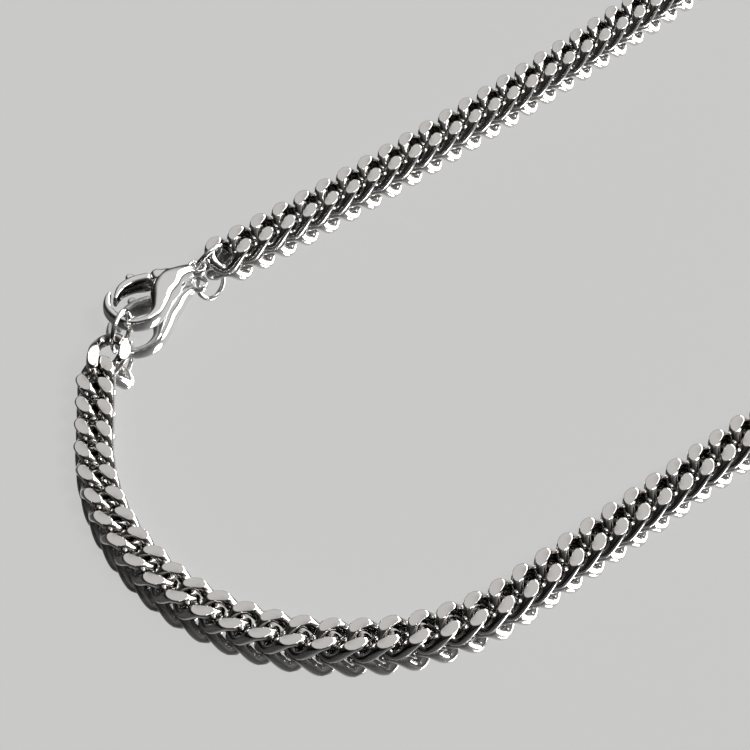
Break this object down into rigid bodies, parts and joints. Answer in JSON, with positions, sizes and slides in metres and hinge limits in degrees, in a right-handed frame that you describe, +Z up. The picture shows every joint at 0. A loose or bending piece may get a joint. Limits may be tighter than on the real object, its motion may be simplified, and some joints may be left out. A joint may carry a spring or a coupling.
{
  "type": "curb chain necklace",
  "caption": "Polished curb chain necklace laid flat as a long closed loop, fastened by a lobster clasp with a sprung lever between two jump rings.",
  "frame": {"origin": "centre of the bounding box, on the surface that the necklace lies on", "axes": "+X along the two strands, away from the clasp end; +Y from the near strand to the strand that carries the clasp; +Z up"},
  "size_m": [0.2182, 0.0726, 0.0058],
  "materials": {
    "chain_metal": "highly polished silver, ground flats like mirrors",
    "ring_metal": "polished silver wire",
    "clasp_metal": "polished cast silver",
    "pin_metal": "plain steel pin"
  },
  "bodies": {
    "necklace": {"chain_near": "chain_metal", "chain_far": "chain_metal", "hook_ring": "ring_metal", "tail_ring": "ring_metal", "clasp_body": "clasp_metal", "lever_pin": "pin_metal"},
    "lever": {"clasp_lever": "clasp_metal"}
  },
  "joints": [
    {"name": "lever_hinge", "type": "hinge", "parent": "necklace", "child": "lever", "pos_m": [-0.08034, 0.02923, 0.0019], "axis": [0.0871, 0.0038, 0.9962], "range_deg": [0, 16], "stiffness_Nm_per_rad": 0.004, "springref_deg": -17.19}
  ]
}
